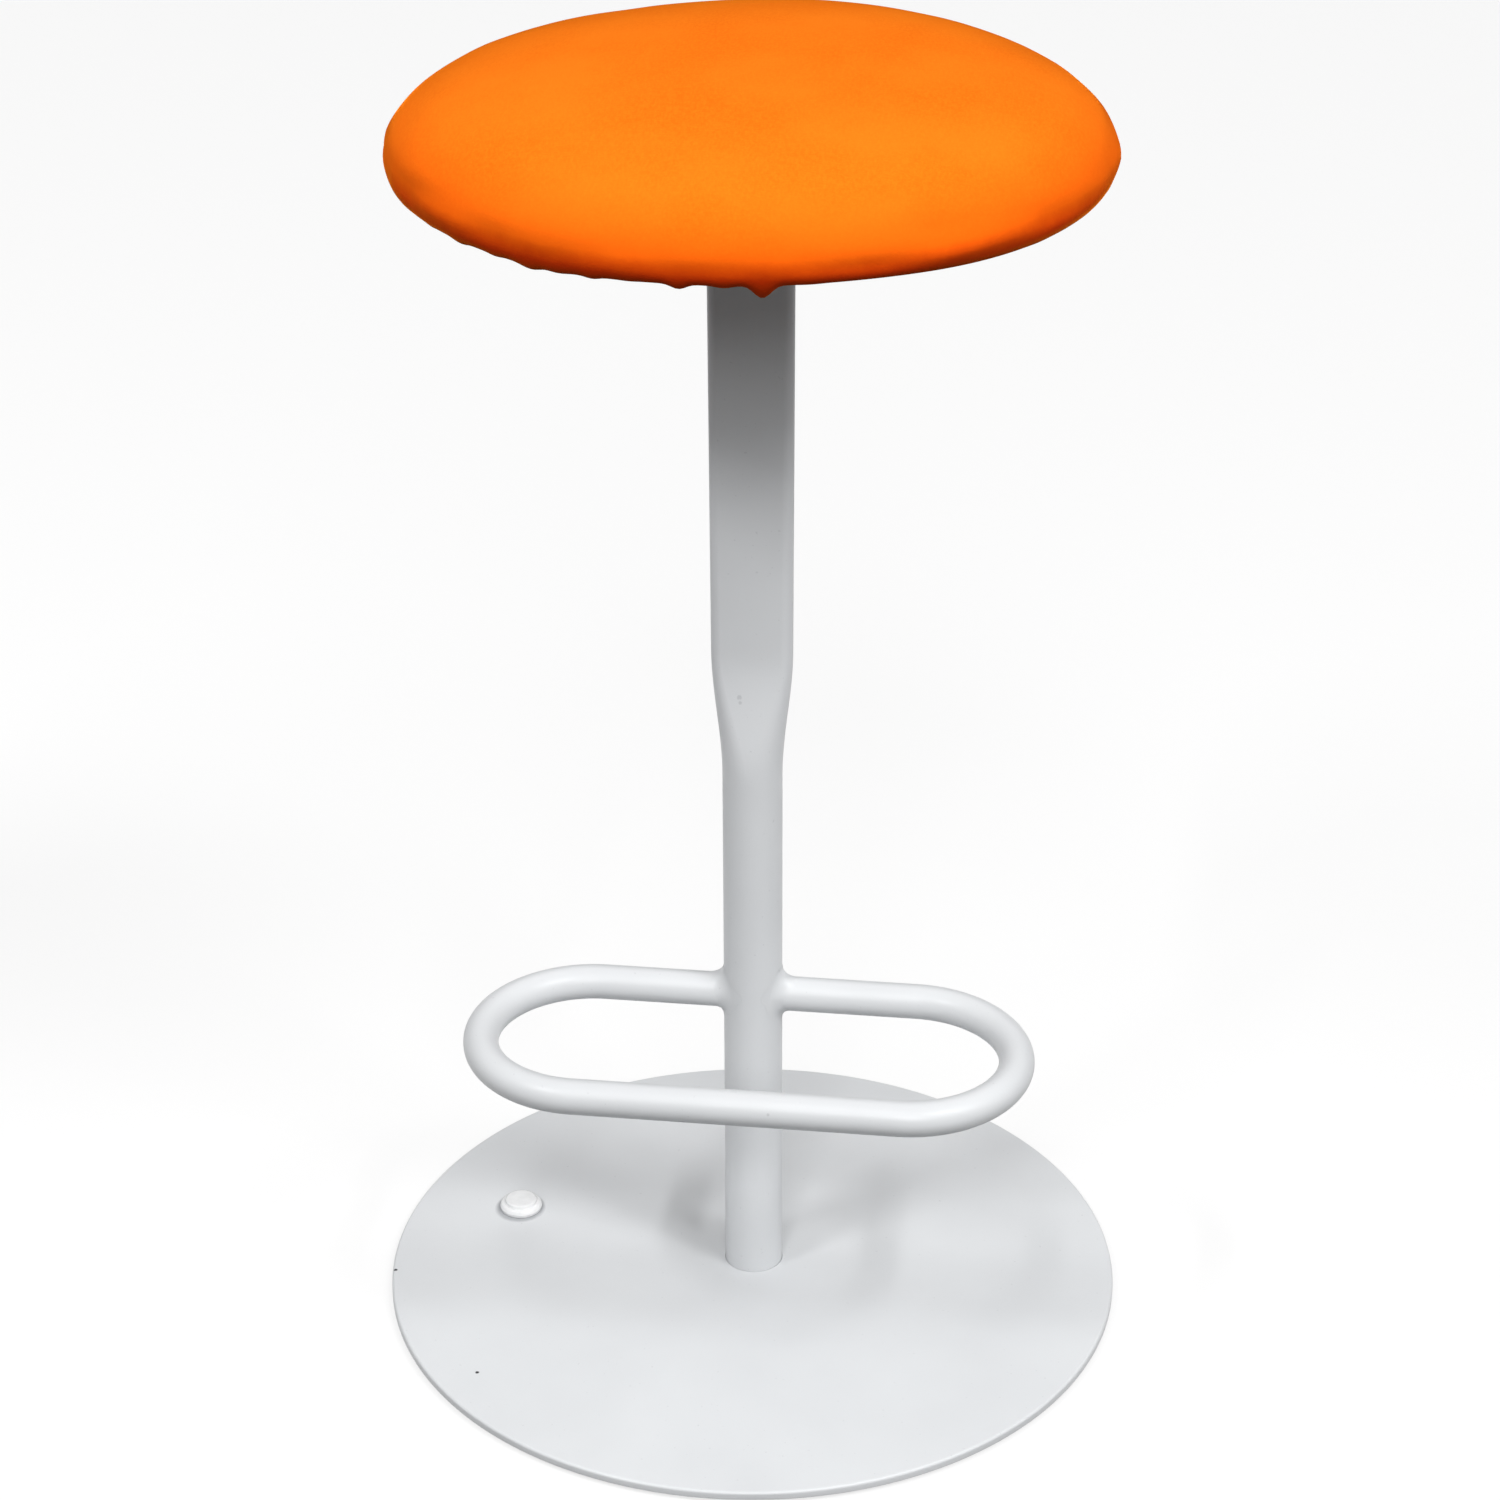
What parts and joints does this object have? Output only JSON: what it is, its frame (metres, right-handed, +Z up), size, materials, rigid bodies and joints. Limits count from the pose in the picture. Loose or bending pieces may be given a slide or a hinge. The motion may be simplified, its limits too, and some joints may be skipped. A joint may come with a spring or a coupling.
{
  "type": "counter stool",
  "caption": "Round padded stool on a single steel column that is pressed flat towards the top, with a disc base and a bent-tube loop footrest.",
  "frame": {"origin": "centre of the disc base, on the floor that the stool stands on", "axes": "+Z up, -Y towards the footrest side that the sitter faces, X along the footrest's straight bars"},
  "size_m": [0.43, 0.43, 0.75],
  "materials": {
    "paint": "pale grey-white powder coat, semi-gloss",
    "orange_fabric": "felted stretch fabric, matt",
    "foam": "open-cell foam, matt",
    "elastic": "covered elastic cord, matt",
    "plywood": "birch plywood, sanded",
    "zinc": "bright zinc plate",
    "white_plastic": "glossy",
    "grey_plastic": "moulded, matt"
  },
  "bodies": {
    "stool": {"base_plate": "paint", "base_glide_1": "grey_plastic", "base_glide_2": "grey_plastic", "base_glide_3": "grey_plastic", "base_glide_4": "grey_plastic", "base_glide_5": "grey_plastic", "leveller_lock_nut": "zinc", "leveller_cap": "white_plastic", "column_tube": "paint", "column_foot_weld": "paint", "column_top_weld": "paint", "footrest_tube": "paint", "footrest_weld_right": "paint", "footrest_weld_left": "paint", "seat_mount_plate": "paint", "seat_board": "plywood", "foam_pad": "foam", "seat_cover": "orange_fabric", "hem_elastic": "elastic", "tee_nut_1": "zinc", "tee_nut_2": "zinc", "tee_nut_3": "zinc", "tee_nut_4": "zinc", "seat_washer_1": "zinc", "seat_washer_2": "zinc", "seat_washer_3": "zinc", "seat_washer_4": "zinc", "seat_screw_1": "zinc", "seat_screw_2": "zinc", "seat_screw_3": "zinc", "seat_screw_4": "zinc"},
    "leveller_foot": {"leveller_foot": "grey_plastic"},
    "leveller_screw": {"leveller_screw": "zinc"}
  },
  "joints": [
    {"name": "leveller_lift", "type": "slide", "parent": "stool", "child": "leveller_foot", "axis": [0, 0, -1], "range_m": [0, 0.005]},
    {"name": "leveller_turn", "type": "hinge", "parent": "leveller_foot", "child": "leveller_screw", "pos_m": [-0.14779, 0.0396, 0], "axis": [0, 0, -1], "range_deg": [0, 1440]}
  ],
  "couplings": [
    {"joint": "leveller_turn", "follows": "leveller_lift", "rad_per_m": 5026.5}
  ]
}
